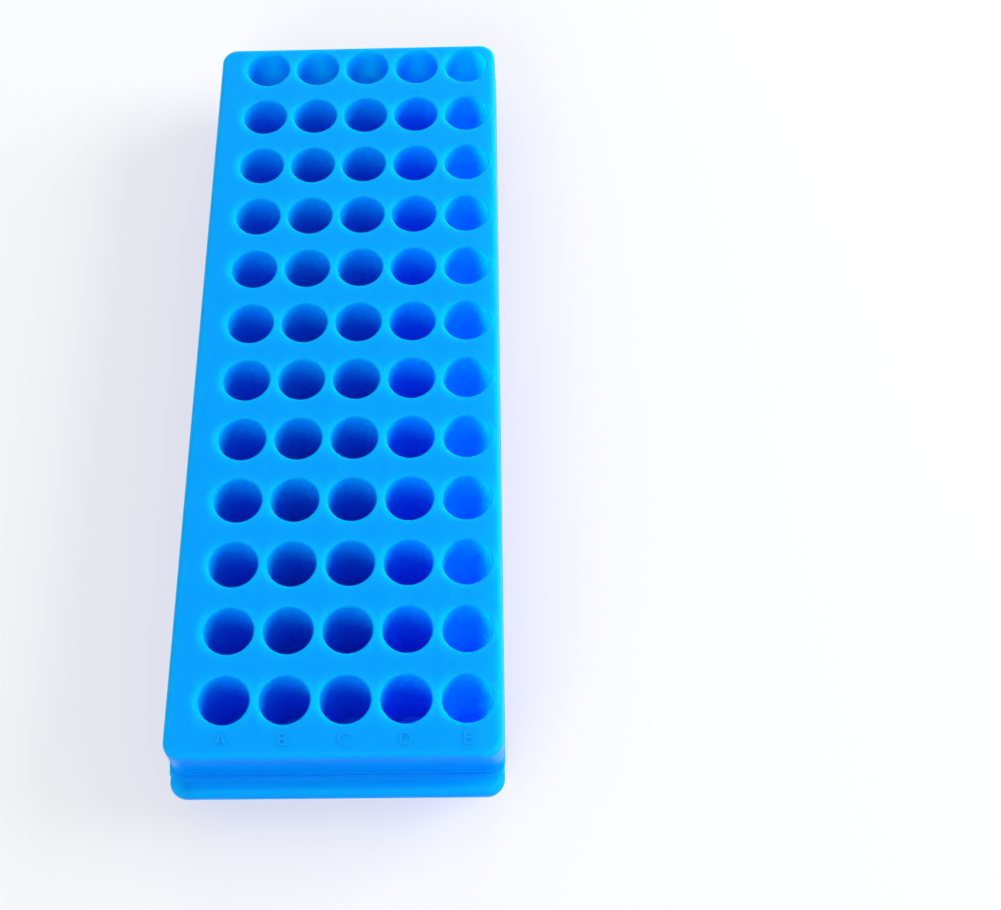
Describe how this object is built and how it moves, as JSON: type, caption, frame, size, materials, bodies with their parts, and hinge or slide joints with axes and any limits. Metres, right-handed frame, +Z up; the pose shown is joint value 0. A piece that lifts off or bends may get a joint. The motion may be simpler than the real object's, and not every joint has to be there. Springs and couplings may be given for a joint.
{
  "type": "microcentrifuge tube rack",
  "caption": "Flat moulded block with a grid of through wells that hold microcentrifuge tubes upright, and a lifting flange at each end.",
  "frame": {"origin": "centre of the block's footprint, on the surface that it rests on", "axes": "+Z up; +Y along the rack, from row 1 (the wide end margin) to row 12; +X across it, from column A (the wide side margin) to column E"},
  "size_m": [0.0726, 0.2046, 0.026],
  "materials": {
    "rack": "glossy, slightly translucent polypropylene"
  },
  "bodies": {
    "root": {"rack": "rack"}
  },
  "joints": []
}
